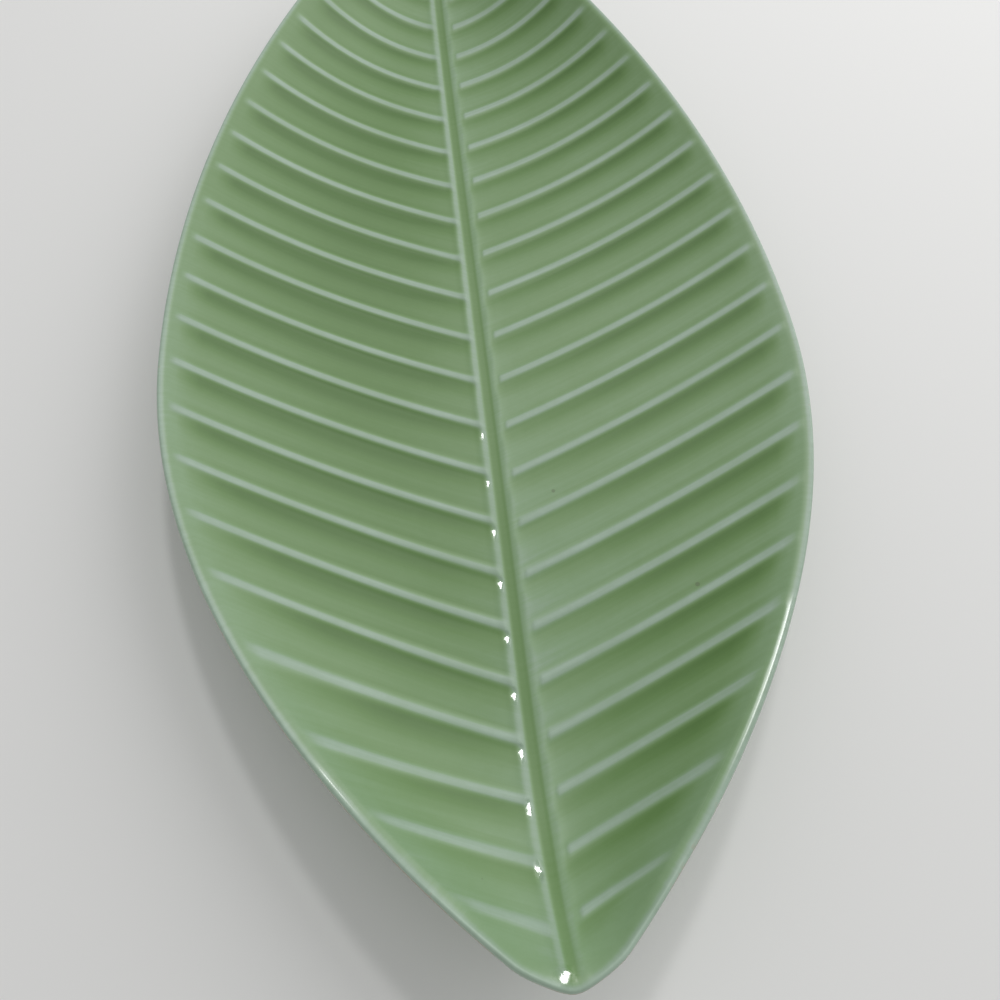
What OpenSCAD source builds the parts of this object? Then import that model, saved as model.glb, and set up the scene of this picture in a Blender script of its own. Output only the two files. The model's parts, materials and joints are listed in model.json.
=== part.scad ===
// A shallow serving plate in the shape of a long leaf, with a grooved midrib and raised side veins.
// The leaf lies along Y with its apex at +Y. The plate stands on z = 0 and is centred over the origin.

/* [Leaf outline] */
// Width of the plate at its widest place
leaf_w = 172; // [150:1:200]
// Length from the base tip to the widest place
base_l = 151; // [130:1:175]
// Length from the widest place to the apex
apex_l = 211; // [185:1:240]

/* [Dish] */
// Height of the lip over the midrib at the widest place
dish_h = 15.6; // [10:0.2:22]
// Further rise of the lip at the base tip
base_lift = 9.6; // [4:0.2:14]
// Further rise of the lip at the apex
apex_lift = 5.8; // [2:0.2:12]
// Thickness of the clay in the well
wall_t = 5.5; // [4:0.1:8]

/* [Lip] */
// Width of the rounded lip
lip_w = 4.6; // [3.5:0.1:7]
// Thickness of the clay at the lip
lip_t = 4.4; // [3:0.1:6]
// Height of the lip's crown over the run of the dish
lip_crown = 0.3; // [0.1:0.05:0.8]

/* [Midrib] */
// Width of the floor of the midrib's groove
groove_w = 1.6; // [1:0.1:2.5]
// Depth of the groove under the run of the dish
groove_d = 0.7; // [0.3:0.05:1.4]
// Distance between the crests of the two ridges beside the groove
ridge_gap = 5.4; // [4.4:0.1:7]
// Width of each ridge from its crest to its outer foot
ridge_foot = 1.5; // [1:0.1:2.2]
// Height of the ridges over the run of the dish
ridge_h = 0.8; // [0.4:0.05:1.4]

/* [Side veins] */
// Number of pairs of side veins
vein_pairs = 24; // [18:1:26]
// Distance of the first vein's root from the base tip
first_vein = 10; // [8:0.5:16]
// Distance of the last vein's root from the apex
last_vein = 18.6; // [14:0.5:26]
// Width of a vein at its foot
vein_w = 2.2; // [1.6:0.1:3]
// Height of a vein over the run of the dish
vein_h = 0.65; // [0.3:0.05:1]
// Swell of the panels between the veins
panel_h = 0.2; // [0.05:0.05:0.4]
// Depth of the hollow on the base side of each vein
hollow_d = 0.3; // [0.1:0.05:0.5]
// Distance by which the left veins and the right veins sit out of step
side_step = 0.76; // [0:0.02:1]

/* [Glaze] */
// Depth of the glaze on the veins, the ridges and the lip
glaze_thin = 0.15; // [0.1:0.05:0.3]
// Depth of the glaze in the hollows beside the veins
glaze_pool = 0.5; // [0.35:0.05:0.8]
// Depth of the glaze on the underside
glaze_back = 0.3; // [0.2:0.05:0.5]

/* [Foot] */
// Height of the foot under the midrib
foot_h = 3; // [2:0.1:5]
// Width of the foot ring's ground face
foot_w = 3.6; // [3:0.1:5]
// Width of the foot ring over its sides
foot_over = 88; // [70:1:100]
// Length of the foot ring from the widest place towards the base
foot_base_l = 84; // [60:1:95]
// Length of the foot ring from the widest place towards the apex
foot_apex_l = 112; // [80:1:130]

/* [Hidden] */
// Exponents of the leaf's outline
round_power = 1.97;
taper_power = 0.926;
// Shares of each end's length that blunt its tip
tip_past_share = 0.024;
tip_round_share = 0.034;
// Exponents of the dish across the leaf and of the midrib's rise towards the tips
dish_power = 2.27;
midrib_power = 8;
// Climb of a vein towards the apex, as a share of the leaf's half width where the vein ends
vein_climb_share = 0.415;
// Half width at which the veins' climb has halved near a tip
climb_ease = 2.6;
// Share of the climb that curves up towards the lip
vein_bow_share = 0.03;
// Spacing of the vein roots along the midrib: the first two terms of a cubic that ends at 1
root_start_share = 0.8;
root_swell_share = 0.432;
// Pairs of veins in one wave of the step between the sides, and where the wave starts
side_wave_pairs = 16;
side_wave_start = -1;
// Places of the rows in a panel, from one vein's foot to the next
panel_shares = [0.35, 0.75];
// Places of the rows in the plain ground at the base tip and at the apex
base_tip_shares = [0.12, 0.35, 0.65];
apex_tip_shares = [0.35, 0.65, 0.88];
// Places of the columns in the panels, from the ridge's foot to the lip
panel_column_shares = [0.25, 0.5, 0.75, 0.9];
// How much of a vein's height is left at the ridge's foot, at those columns and at the lip
vein_fade_shares = [1, 1, 1, 0.95, 0.6];
// Places of the crown and the height of the edge on the lip
lip_crown_share = 0.4;
lip_edge_share = 0.48;
// Largest share of a narrow row that the midrib and the lip may take
midrib_most_share = 0.36;
lip_most_share = 0.3;
// Depth of the hollow on the apex side of a vein, as a share of the one on the base side
apex_hollow_share = 0.4;
// Depth of the glaze on a panel, between the thin and the pooled depth
panel_glaze_share = 0.5;
// Places of the rings on the underside, from the lip to the foot and from the foot to the middle
under_shares = [0.25, 0.5, 0.75];
inside_shares = [0.4, 0.75];
// Inset of the ring under the lip, as a share of the lip's width
under_lip_share = 0.6;
// How much further an outline is drawn in at its tips than at its sides
tip_inset_share = 2;
// Steps of the search for the end of a row
search_steps = 40;

leaf_l = base_l + apex_l;
widest_y = base_l - leaf_l / 2;
base_y = -leaf_l / 2;
apex_y = leaf_l / 2;
half_w = leaf_w / 2;
ground_z = foot_h + wall_t;
clay_half_w = half_w - glaze_thin;
clay_base_l = base_l - glaze_thin;
clay_apex_l = apex_l - glaze_thin;
clay_base_y = widest_y - clay_base_l;
clay_apex_y = widest_y + clay_apex_l;

// Leaf outline: half width as a share of the full half width, at a share of the way to a tip
function tip_blunt(share) = max(0, 1 - (1 - share) / tip_round_share);
function full_share(share) =
    pow(max(0, 1 - pow(share / (1 + tip_past_share), round_power)), taper_power);
function width_share(share) =
    share >= 1 ? 0 : full_share(share) * sqrt(max(0, 1 - pow(tip_blunt(share), 2)));
function way_to_tip(y) = (y - widest_y) / (y < widest_y ? clay_base_l : clay_apex_l);
function clay_half_at(y) = clay_half_w * width_share(abs(way_to_tip(y)));

// Dish: heights of the lip's line, of the midrib and of any place on the leaf over the ground
function lip_z(way) = dish_h + (way < 0 ? base_lift : apex_lift) * way * way;
function inside_way(way) =
    let (len = way < 0 ? clay_base_l : clay_apex_l)
    min(1, abs(way) * len / (len - lip_w));
function midrib_z(way) = lip_z(way) * pow(inside_way(way), midrib_power);
function across_share(x, y) = min(1, abs(x) / max(clay_half_at(y), glaze_thin));
function dish_z(x, y) =
    let (way = way_to_tip(y), low = midrib_z(way))
    ground_z + low + (lip_z(way) - low) * pow(across_share(x, y), dish_power);

// Rows follow the veins: each starts at a root on the midrib and climbs to its end on the lip
function climb(y) = let (w = clay_half_at(y)) vein_climb_share * w * w / (w + climb_ease);
function row_end(root, y, steps) =
    steps == 0 ? y : row_end(root, (y + root + climb(y)) / 2, steps - 1);
function row_y(root, end_y, share) =
    root + (end_y - root) * ((1 - vein_bow_share) * share + vein_bow_share * share * share);

// Roots of the veins along the midrib
root_end_share = 1 - root_start_share - root_swell_share;
function root_share(s) = root_start_share * s + root_swell_share * s * s + root_end_share * s * s * s;
first_y = base_y + first_vein;
last_y = apex_y - last_vein;
function side_shift(i, side) =
    side * side_step * cos(360 * (i - side_wave_start) / side_wave_pairs);
function vein_root(i, side) =
    first_y + (last_y - first_y) * root_share(i / (vein_pairs - 1)) + side_shift(i, side);

// Each row holds its root, its relief as [height, hollow, swell] shares, and its glaze share
function vein_rows(i, side) =
    let (root = vein_root(i, side))
    [[root - vein_w / 2, 0, 1, 0, 1],
     [root, 1, 0, 0, 0],
     [root + vein_w / 2, 0, apex_hollow_share, 0, 1]];
function panel_rows(i, side) =
    let (low = vein_root(i, side) + vein_w / 2, high = vein_root(i + 1, side) - vein_w / 2)
    [for (s = panel_shares) [low + (high - low) * s, 0, 0, 1, panel_glaze_share]];
function plain_row(y) = [y, 0, 0, 0, panel_glaze_share];
function low_tip_rows(side) =
    let (high = vein_root(0, side) - vein_w / 2)
    [for (s = base_tip_shares) plain_row(clay_base_y + (high - clay_base_y) * s)];
function high_tip_rows(side) =
    let (low = vein_root(vein_pairs - 1, side) + vein_w / 2)
    [for (s = apex_tip_shares) plain_row(low + (clay_apex_y - low) * s)];
function side_rows(side) = [
    each low_tip_rows(side),
    for (i = [0 : vein_pairs - 1]) each [
        each vein_rows(i, side),
        each (i < vein_pairs - 1 ? panel_rows(i, side) : [])],
    each high_tip_rows(side)];

// Columns cross a row from the midrib to the edge: each is [x, relief, glaze]
ridge_x = ridge_gap / 2;
ridge_out_x = ridge_x + ridge_foot;
function panel_relief(row) = row[1] * vein_h - row[2] * hollow_d + row[3] * panel_h;
function panel_glaze(row) = glaze_thin + (glaze_pool - glaze_thin) * row[4];
function side_columns(row, w) =
    let (ease = min(1, midrib_most_share * w / ridge_out_x),
         lip = min(lip_w, lip_most_share * w),
         in_x = ridge_out_x * ease,
         out_x = w - lip,
         run = out_x - in_x)
    [[groove_w / 2 * ease, -groove_d * ease, glaze_pool],
     [ridge_x * ease, ridge_h * ease, glaze_thin],
     [in_x, panel_relief(row) * ease, panel_glaze(row)],
     for (k = [0 : len(panel_column_shares) - 1])
         [in_x + run * panel_column_shares[k],
          panel_relief(row) * vein_fade_shares[k] * ease,
          panel_glaze(row)],
     [out_x, 0, (glaze_thin + glaze_pool) / 2],
     [w - lip * lip_crown_share, lip_crown * lip / lip_w, glaze_thin]];

// The outline's outward direction at a row's end
function outward(y) =
    let (rise = clay_half_at(y + glaze_thin) - clay_half_at(y - glaze_thin),
         run = 2 * glaze_thin,
         size = norm([rise, run]))
    [run / size, -rise / size];
function edge_z(y) = ground_z + lip_z(way_to_tip(y)) - lip_t * lip_edge_share;

// Points of one row on one side, from beside the midrib to the edge, for the clay or for the glaze
function row_points(row, side, glazed) =
    let (end_y = row_end(row[0], row[0], search_steps),
         w = clay_half_at(end_y),
         way_out = outward(end_y),
         grow = glazed ? glaze_thin : 0)
    [for (c = side_columns(row, w))
        let (y = row_y(row[0], end_y, c[0] / w))
        [side * c[0], y, dish_z(c[0], y) + c[1] + (glazed ? c[2] : 0)],
     [side * (w + grow * way_out[0]), end_y + grow * way_out[1], edge_z(end_y)]];

right_rows = side_rows(1);
left_rows = side_rows(-1);
row_count = len(right_rows);
right_clay = [for (row = right_rows) row_points(row, 1, false)];
left_clay = [for (row = left_rows) row_points(row, -1, false)];
right_glaze = [for (row = right_rows) row_points(row, 1, true)];
left_glaze = [for (row = left_rows) row_points(row, -1, true)];
side_count = len(right_clay[0]);
column_count = 2 * side_count;

// The face as one list: a tip point, the rows from left edge to right edge, and the other tip point
function base_tip(glazed) =
    [0, clay_base_y - (glazed ? glaze_thin : 0), edge_z(clay_base_y)];
function apex_tip(glazed) =
    [0, clay_apex_y + (glazed ? glaze_thin : 0), edge_z(clay_apex_y)];
function face_points(left, right, glazed) = [
    base_tip(glazed),
    for (i = [0 : row_count - 1]) each [
        for (k = [side_count - 1 : -1 : 0]) left[i][k],
        each right[i]],
    apex_tip(glazed)];
clay_face = face_points(left_clay, right_clay, false);
glaze_face = face_points(left_glaze, right_glaze, true);
face_size = len(clay_face);
function face_index(row, column) = 1 + row * column_count + column;

// Triangles of the face, turned up
function quad(a, b, c, d) = [[a, b, c], [a, c, d]];
face_triangles = [
    for (c = [0 : column_count - 2]) [0, face_index(0, c), face_index(0, c + 1)],
    for (r = [0 : row_count - 2], c = [0 : column_count - 2])
        each quad(face_index(r, c), face_index(r + 1, c), face_index(r + 1, c + 1), face_index(r, c + 1)),
    for (c = [0 : column_count - 2])
        [face_size - 1, face_index(row_count - 1, c + 1), face_index(row_count - 1, c)]];
function turned(triangles) = [for (t = triangles) [t[2], t[1], t[0]]];
function moved(triangles, by) = [for (t = triangles) [t[0] + by, t[1] + by, t[2] + by]];

// The edge as a loop of places in the face's list, up the right side and down the left side
edge_loop = [
    0,
    for (r = [0 : row_count - 1]) face_index(r, column_count - 1),
    face_size - 1,
    for (r = [row_count - 1 : -1 : 0]) face_index(r, 0)];
edge_count = len(edge_loop);

// The underside is made of rings that keep the edge points of the tips and one for each vein
rows_per_vein = 3 + len(panel_shares);
kept_rows = [
    for (i = [0 : len(base_tip_shares) - 1]) i,
    for (i = [0 : vein_pairs - 1]) len(base_tip_shares) + 1 + i * rows_per_vein,
    for (i = [len(apex_tip_shares) : -1 : 1]) row_count - i];
kept_count = len(kept_rows);
kept_edges = [
    0,
    for (r = kept_rows) 1 + r,
    row_count + 1,
    for (i = [kept_count - 1 : -1 : 0]) 2 * row_count + 1 - kept_rows[i]];
ring_count = len(kept_edges);
function edge_side(k) = k == 0 || k == kept_count + 1 ? 0 : (k <= kept_count ? 1 : -1);
kept_ways = [for (e = kept_edges) way_to_tip(clay_face[edge_loop[e]][1])];

// A smaller leaf, as [half width, base length, apex length]
clay_leaf = [clay_half_w, clay_base_l, clay_apex_l];
function drawn_in(leaf, by) = leaf - [by, by * tip_inset_share, by * tip_inset_share];
under_leaf = drawn_in(clay_leaf, lip_w * under_lip_share);
foot_leaf = [foot_over / 2, foot_base_l, foot_apex_l];
foot_in_leaf = drawn_in(foot_leaf, foot_w);
function between(a, b, share) = a + (b - a) * share;
function ring_place(leaf, k) =
    let (way = kept_ways[k])
    [edge_side(k) * leaf[0] * width_share(min(1, abs(way))),
     widest_y + way * (way < 0 ? leaf[1] : leaf[2])];
function under_z(x, y) =
    dish_z(x, y) - between(wall_t, lip_t, pow(across_share(x, y), dish_power));
function ring(leaf, drop) =
    [for (k = [0 : ring_count - 1]) let (p = ring_place(leaf, k)) [p[0], p[1], under_z(p[0], p[1]) - drop]];
outer_leaves = [
    under_leaf,
    for (s = under_shares) between(under_leaf, foot_leaf, s),
    foot_leaf];
inner_leaves = [foot_in_leaf, for (s = inside_shares) foot_in_leaf * (1 - s)];
function middle(drop) = [0, widest_y, under_z(0, widest_y) - drop];

// Strips between the edge and the first ring, between rings, and round the middle, turned down
function fine_strip(edges, first) = [
    for (k = [0 : ring_count - 1])
        let (next = (k + 1) % ring_count,
             from = kept_edges[k],
             to = k == ring_count - 1 ? edge_count : kept_edges[next],
             half = floor((from + to) / 2))
        each [
            for (e = [from : to - 1])
                [edges[e], edges[(e + 1) % edge_count], first + (e < half ? k : next)],
            [first + k, edges[half], first + next]]];
function ring_strip(a, b) = [
    for (k = [0 : ring_count - 1])
        let (next = (k + 1) % ring_count)
        each quad(a + k, a + next, b + next, b + k)];
function ring_strips(first, count) = [
    for (i = [0 : count - 2])
        each ring_strip(first + i * ring_count, first + (i + 1) * ring_count)];
function middle_fan(a, centre) = [
    for (k = [0 : ring_count - 1]) [a + k, a + (k + 1) % ring_count, centre]];
function rings(leaves, drop) = [for (leaf = leaves) each ring(leaf, drop)];

// The leaf of clay, with the veins and the midrib in relief on its face
module clay_body() {
    all_leaves = [each outer_leaves, each inner_leaves];
    last_ring = face_size + (len(all_leaves) - 1) * ring_count;
    color("wheat")
    polyhedron(
        points = [each clay_face, each rings(all_leaves, 0), middle(0)],
        faces = [
            each face_triangles,
            each fine_strip(edge_loop, face_size),
            each ring_strips(face_size, len(all_leaves)),
            each middle_fan(last_ring, last_ring + ring_count)]);
}

// The ring under the well: its top follows the underside and its ground face is flat
module foot_ring() {
    top_out = ring(foot_leaf, 0);
    top_in = ring(foot_in_leaf, 0);
    color("tan")
    polyhedron(
        points = [
            each top_out,
            each top_in,
            for (p = top_out) [p[0], p[1], 0],
            for (p = top_in) [p[0], p[1], 0]],
        faces = [
            each turned(ring_strip(0, ring_count)),
            each ring_strip(0, 2 * ring_count),
            each ring_strip(2 * ring_count, 3 * ring_count),
            each turned(ring_strip(ring_count, 3 * ring_count))]);
}

// The coat on the face, from edge to edge
module face_glaze() {
    color("darkseagreen")
    polyhedron(
        points = [each glaze_face, each clay_face],
        faces = [
            each face_triangles,
            each turned(moved(face_triangles, face_size)),
            for (e = [0 : edge_count - 1])
                let (a = edge_loop[e], b = edge_loop[(e + 1) % edge_count])
                each quad(a, b, b + face_size, a + face_size)]);
}

// The coat on the underside: a band from the edge to the foot, and a sheet inside the foot ring
module back_glaze() {
    color("darkseagreen") {
        back_band();
        back_middle();
    }
}

module back_band() {
    band_rings = len(outer_leaves);
    out_edges = [for (e = [0 : edge_count - 1]) e];
    out_first = edge_count;
    in_start = edge_count + band_rings * ring_count;
    in_edges = [for (e = [0 : edge_count - 1]) in_start + e];
    in_first = in_start + edge_count;
    polyhedron(
        points = [
            for (e = edge_loop) glaze_face[e],
            each rings(outer_leaves, glaze_back),
            for (e = edge_loop) clay_face[e],
            each rings(outer_leaves, 0)],
        faces = [
            each fine_strip(out_edges, out_first),
            each ring_strips(out_first, band_rings),
            each ring_strip(in_start - ring_count, in_first + (band_rings - 1) * ring_count),
            each turned(ring_strips(in_first, band_rings)),
            each turned(fine_strip(in_edges, in_first)),
            for (e = [0 : edge_count - 1])
                let (next = (e + 1) % edge_count)
                each turned(quad(e, next, in_start + next, in_start + e))]);
}

module back_middle() {
    sheet_rings = len(inner_leaves);
    sheet_size = sheet_rings * ring_count + 1;
    last_ring = (sheet_rings - 1) * ring_count;
    polyhedron(
        points = [
            each rings(inner_leaves, glaze_back),
            middle(glaze_back),
            each rings(inner_leaves, 0),
            middle(0)],
        faces = [
            each ring_strips(0, sheet_rings),
            each middle_fan(last_ring, sheet_size - 1),
            each turned(ring_strips(sheet_size, sheet_rings)),
            each turned(middle_fan(sheet_size + last_ring, 2 * sheet_size - 1)),
            each ring_strip(sheet_size, 0)]);
}

clay_body();
foot_ring();
face_glaze();
back_glaze();
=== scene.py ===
# %% [markdown]
# A serving plate in the shape of a long leaf, in stoneware under a green celadon glaze.
# Celadon is a clear glaze tinted with a little iron. It has no pattern of its own: it runs off every
# ridge while it is molten and gathers in every hollow, so the pressed veins draw themselves, pale where
# the glass is thin and deep green where it lies thick. The model works the same way. Its relief is
# real, and the colour of each place comes from how deep the glaze lies there.

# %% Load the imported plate
import json
import math

import bpy
import numpy as np
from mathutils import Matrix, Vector

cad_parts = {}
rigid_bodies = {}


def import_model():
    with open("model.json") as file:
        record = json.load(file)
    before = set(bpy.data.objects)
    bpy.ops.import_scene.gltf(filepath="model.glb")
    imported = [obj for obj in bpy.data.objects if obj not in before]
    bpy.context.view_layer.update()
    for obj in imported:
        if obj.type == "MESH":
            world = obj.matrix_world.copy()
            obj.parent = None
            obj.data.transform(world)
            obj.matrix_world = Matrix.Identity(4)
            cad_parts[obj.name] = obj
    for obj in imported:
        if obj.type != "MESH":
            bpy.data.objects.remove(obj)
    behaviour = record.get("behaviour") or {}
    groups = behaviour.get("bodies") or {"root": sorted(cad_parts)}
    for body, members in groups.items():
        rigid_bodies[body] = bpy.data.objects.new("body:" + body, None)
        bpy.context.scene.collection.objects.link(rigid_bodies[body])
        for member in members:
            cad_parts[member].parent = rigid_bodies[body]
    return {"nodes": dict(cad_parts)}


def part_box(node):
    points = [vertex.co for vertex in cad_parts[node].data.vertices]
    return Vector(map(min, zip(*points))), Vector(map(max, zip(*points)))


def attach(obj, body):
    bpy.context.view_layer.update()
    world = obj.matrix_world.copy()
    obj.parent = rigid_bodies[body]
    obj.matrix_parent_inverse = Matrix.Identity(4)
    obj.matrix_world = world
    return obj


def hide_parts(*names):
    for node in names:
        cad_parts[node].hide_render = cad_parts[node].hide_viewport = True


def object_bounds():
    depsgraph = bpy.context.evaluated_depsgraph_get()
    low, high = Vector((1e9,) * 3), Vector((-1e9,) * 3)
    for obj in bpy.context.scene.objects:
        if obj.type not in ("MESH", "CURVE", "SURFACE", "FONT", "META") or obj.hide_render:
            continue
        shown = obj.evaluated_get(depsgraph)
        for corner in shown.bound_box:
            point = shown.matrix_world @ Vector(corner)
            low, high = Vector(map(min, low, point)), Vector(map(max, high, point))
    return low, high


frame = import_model()
cad_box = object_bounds()
MM = 0.001
for name in frame["nodes"]:
    low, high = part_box(name)
    print(name, [round((b - a) / MM, 1) for a, b in zip(low, high)])

# %% [markdown]
# The camera stands where the photograph was taken from: low over the base of the leaf and a little to
# the left, with a phone's wide lens. The apex is out of the picture, as it is in the photograph. The
# place and the turn were found by matching the outline, the midrib and the veins, so they are
# written as plain numbers here.

# %% Camera
EYE_MM = (-18.0, -161.7, 198.9)
TURN_DEG = (25.88, -2.26, -6.50)
LENS_MM = 28.8
SENSOR_MM = 36
NEAREST = 0.01

camera_data = bpy.data.cameras.new("camera")
camera_data.lens = LENS_MM
camera_data.sensor_width = SENSOR_MM
camera_data.clip_start = NEAREST
camera = bpy.data.objects.new("camera", camera_data)
camera.location = [c * MM for c in EYE_MM]
camera.rotation_euler = [math.radians(a) for a in TURN_DEG]
bpy.context.scene.collection.objects.link(camera)
bpy.context.scene.camera = camera
print("camera", EYE_MM, "mm,", LENS_MM, "mm lens")

# %% [markdown]
# The plate is lit like a thing on a table in a bright room. A small window, high beyond the apex,
# makes the bright spots and lines. A large side light brings out the veins, and even light from all
# round fills the rest. Where the window must stand follows from the photograph's own highlights: each
# sits where the glaze tilts halfway between the camera and the light. The side light stays well to
# the back, because further round the whole right half mirrors it and turns grey. The sum of the
# lights is kept at the level at which a colour renders as it is written.

# %% Lights and floor
WINDOW_WAY = Vector((0.103, 0.493, 0.864))
WINDOW_REACH = 1.2
WINDOW_SIZE = 0.11
WINDOW_POWER = 2.2
SIDE_WAY = Vector((0.66, 0.50, 0.58))
SIDE_REACH = 1.3
SIDE_SIZE = 1.1
SIDE_POWER = 8.5
ROOM_LEVEL = 0.50
FLOOR_SIZE = 6.0
FLOOR_TINT = (0.80, 0.80, 0.79, 1)
FLOOR_ROUGHNESS = 0.7


def add_window(name, way, reach, size, power):
    """A square lamp that looks at the middle of the plate."""
    lamp = bpy.data.lights.new(name, "AREA")
    lamp.shape = "SQUARE"
    lamp.size = size
    lamp.energy = power
    thing = bpy.data.objects.new(name, lamp)
    thing.location = way.normalized() * reach
    thing.rotation_euler = thing.location.to_track_quat("Z", "Y").to_euler()
    bpy.context.scene.collection.objects.link(thing)
    return thing


window = add_window("window", WINDOW_WAY, WINDOW_REACH, WINDOW_SIZE, WINDOW_POWER)
add_window("side_light", SIDE_WAY, SIDE_REACH, SIDE_SIZE, SIDE_POWER)

world = bpy.data.worlds.new("room")
bpy.context.scene.world = world
world.use_nodes = True
room = world.node_tree.nodes["Background"]
room.inputs["Color"].default_value = (1.0, 1.0, 1.0, 1)
room.inputs["Strength"].default_value = ROOM_LEVEL

bpy.ops.mesh.primitive_plane_add(size=FLOOR_SIZE, location=(0, 0, 0))
floor = bpy.context.active_object
floor.name = "floor"
floor_finish = bpy.data.materials.new("pale_floor")
floor_finish.use_nodes = True
floor_shader = floor_finish.node_tree.nodes["Principled BSDF"]
floor_shader.inputs["Base Color"].default_value = FLOOR_TINT
floor_shader.inputs["Roughness"].default_value = FLOOR_ROUGHNESS
floor.data.materials.append(floor_finish)
bpy.context.scene.view_settings.view_transform = "Standard"
print("window at", [round(c, 2) for c in window.location], "m; room level", ROOM_LEVEL)

# %% [markdown]
# The leaf's outline is one formula: the half width at a share of the way to a tip. A dish is laid
# over it. Across the leaf it rises from the midrib to the lip, and along the leaf the midrib climbs
# to meet the lip at both tips, where it levels off just before the edge. The wall is drawn up a
# little further than that, since the lip rounds over and loses the height again: most near the base
# tip, where the wall is steep. All sizes are in millimetres, the same ones as the plate's pieces.

# %% Outline and dish
leaf_low, leaf_high = cad_box
LENGTH = (leaf_high[1] - leaf_low[1]) / MM
HALF_WIDTH = (leaf_high[0] - leaf_low[0]) / 2 / MM
BASE_LENGTH = 151.0
APEX_LENGTH = LENGTH - BASE_LENGTH
WIDEST_Y = BASE_LENGTH - LENGTH / 2
BASE_Y = -LENGTH / 2
APEX_Y = LENGTH / 2
ROUND_POWER = 1.97
TAPER_POWER = 0.926
TIP_PAST = 0.024
TIP_ROUND = 0.034
DISH_HEIGHT = 15.6
BASE_LIFT = 9.6
APEX_LIFT = 5.8
DISH_POWER = 2.27
MIDRIB_POWER = 7
GROUND_Z = 8.5
WALL = 5.5
LIP_THICK = 4.4
RIB_STOP = 3.6
RIB_EASE = 0.016
# How much further the wall is drawn up, in mm, at shares of the way to the base tip and to the apex
SPARE_BASE = (
    (-1, 0.2), (-0.95, 1.8), (-0.9, 3.6), (-0.86, 4.4), (-0.8, 3.9), (-0.7, 2.55), (-0.6, 1.55),
    (-0.5, 1.0), (-0.4, 0.67), (-0.2, 0.33), (0, 0.22))
SPARE_APEX = (
    (0.25, 0.33), (0.4, 0.54), (0.55, 0.91), (0.7, 1.55), (0.8, 2.15), (0.86, 2.4), (0.92, 1.5),
    (0.97, 0.7), (1, 0.3))
SPARE_STEPS = 801
SPARE_SOFT = 24


def smooth(share):
    """Eases a share from 0 to 1, and holds it there."""
    share = np.clip(share, 0, 1)
    return share * share * (3 - 2 * share)


def bell(distance, half):
    """1 in the middle, fading to both sides."""
    return np.exp(-((distance / half) ** 2))


def width_share(share):
    """Half width as a share of the widest, at a share of the way to a tip."""
    share = np.clip(share, 0, 1)
    blunt = np.clip(1 - (1 - share) / TIP_ROUND, 0, 1)
    full = np.clip(1 - (share / (1 + TIP_PAST)) ** ROUND_POWER, 0, 1) ** TAPER_POWER
    return np.where(share >= 1, 0, full * np.sqrt(np.clip(1 - blunt**2, 0, 1)))


def way_to_tip(y):
    """Share of the way from the widest place to a tip: below zero towards the base."""
    return (y - WIDEST_Y) / np.where(y < WIDEST_Y, BASE_LENGTH, APEX_LENGTH)


def half_at(y):
    """The leaf's half width at a place along it."""
    return HALF_WIDTH * width_share(np.abs(way_to_tip(y)))


def lip_height(way):
    """Height of the lip over the deepest place, lifted at both tips."""
    return DISH_HEIGHT + np.where(way < 0, BASE_LIFT, APEX_LIFT) * way**2


def midrib_height(way):
    """How far the midrib climbs: it meets the lip, eased off, a little inside the tip."""
    length = np.where(way < 0, BASE_LENGTH, APEX_LENGTH)
    inside = np.abs(way) * length / (length - RIB_STOP)
    past = np.clip(inside - 1 + RIB_EASE, 0, 2 * RIB_EASE)
    inside = np.minimum(inside, 1 + RIB_EASE) - past**2 / 4 / RIB_EASE
    return lip_height(way) * inside**MIDRIB_POWER


# The table's straight stretches are smoothed, so that the wall has no kinks
spare_ways = np.linspace(-1, 1, SPARE_STEPS)
spare_reach = 2 * SPARE_SOFT
spare_kernel = bell(np.arange(-spare_reach, spare_reach + 1), SPARE_SOFT)
spare_mm = np.interp(spare_ways, *zip(*SPARE_BASE, *SPARE_APEX))
spare_mm = np.pad(spare_mm, spare_reach, mode="edge")
spare_mm = np.convolve(spare_mm, spare_kernel / spare_kernel.sum(), mode="valid")


def across_share(x, y):
    """Share of the way from the midrib to the lip."""
    return np.clip(np.abs(x) / np.maximum(half_at(y), 0.1), 0, 1)


def dish_height(x, y):
    """Height of the bare dish, without lip and relief."""
    way = way_to_tip(y)
    low = midrib_height(way)
    high = lip_height(way) + np.interp(way, spare_ways, spare_mm)
    return GROUND_Z + low + (high - low) * across_share(x, y) ** DISH_POWER


print("leaf", round(LENGTH, 1), "by", round(2 * HALF_WIDTH, 1), "mm, widest at y", round(WIDEST_Y, 1))

# %% [markdown]
# The veins set the rows of the sheet. Each row starts at a root on the midrib and climbs to its end
# on the lip, so a vein is a few rows that lie close together. The roots open out towards the middle
# of the leaf and close up again, and the left and the right veins drift a little out of step, as
# they do when a mould is cut by hand. Towards the base the veins climb less, the left ones only at
# the very end and the right ones from further up. A search finds the ends, because a row's climb
# depends on the leaf's width where it ends.

# %% Rows along the veins
VEIN_PAIRS = 24
FIRST_VEIN = 10.0
LAST_VEIN = 18.6
ROOT_START = 0.8
ROOT_SWELL = 0.432
SIDE_STEP = 0.76
SIDE_WAVE_PAIRS = 16
SIDE_WAVE_START = -1
CLIMB_SHARE = 0.415
CLIMB_EASE = 2.6
LEFT_LESS = 0.23
RIGHT_LESS = 0.965
RIGHT_LATER = 0.09
LEFT_SPAN = (-124, 26)
RIGHT_SPAN = (-50, 70)
END_SEARCHES = 60
VEIN_BOW = 0.03


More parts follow.
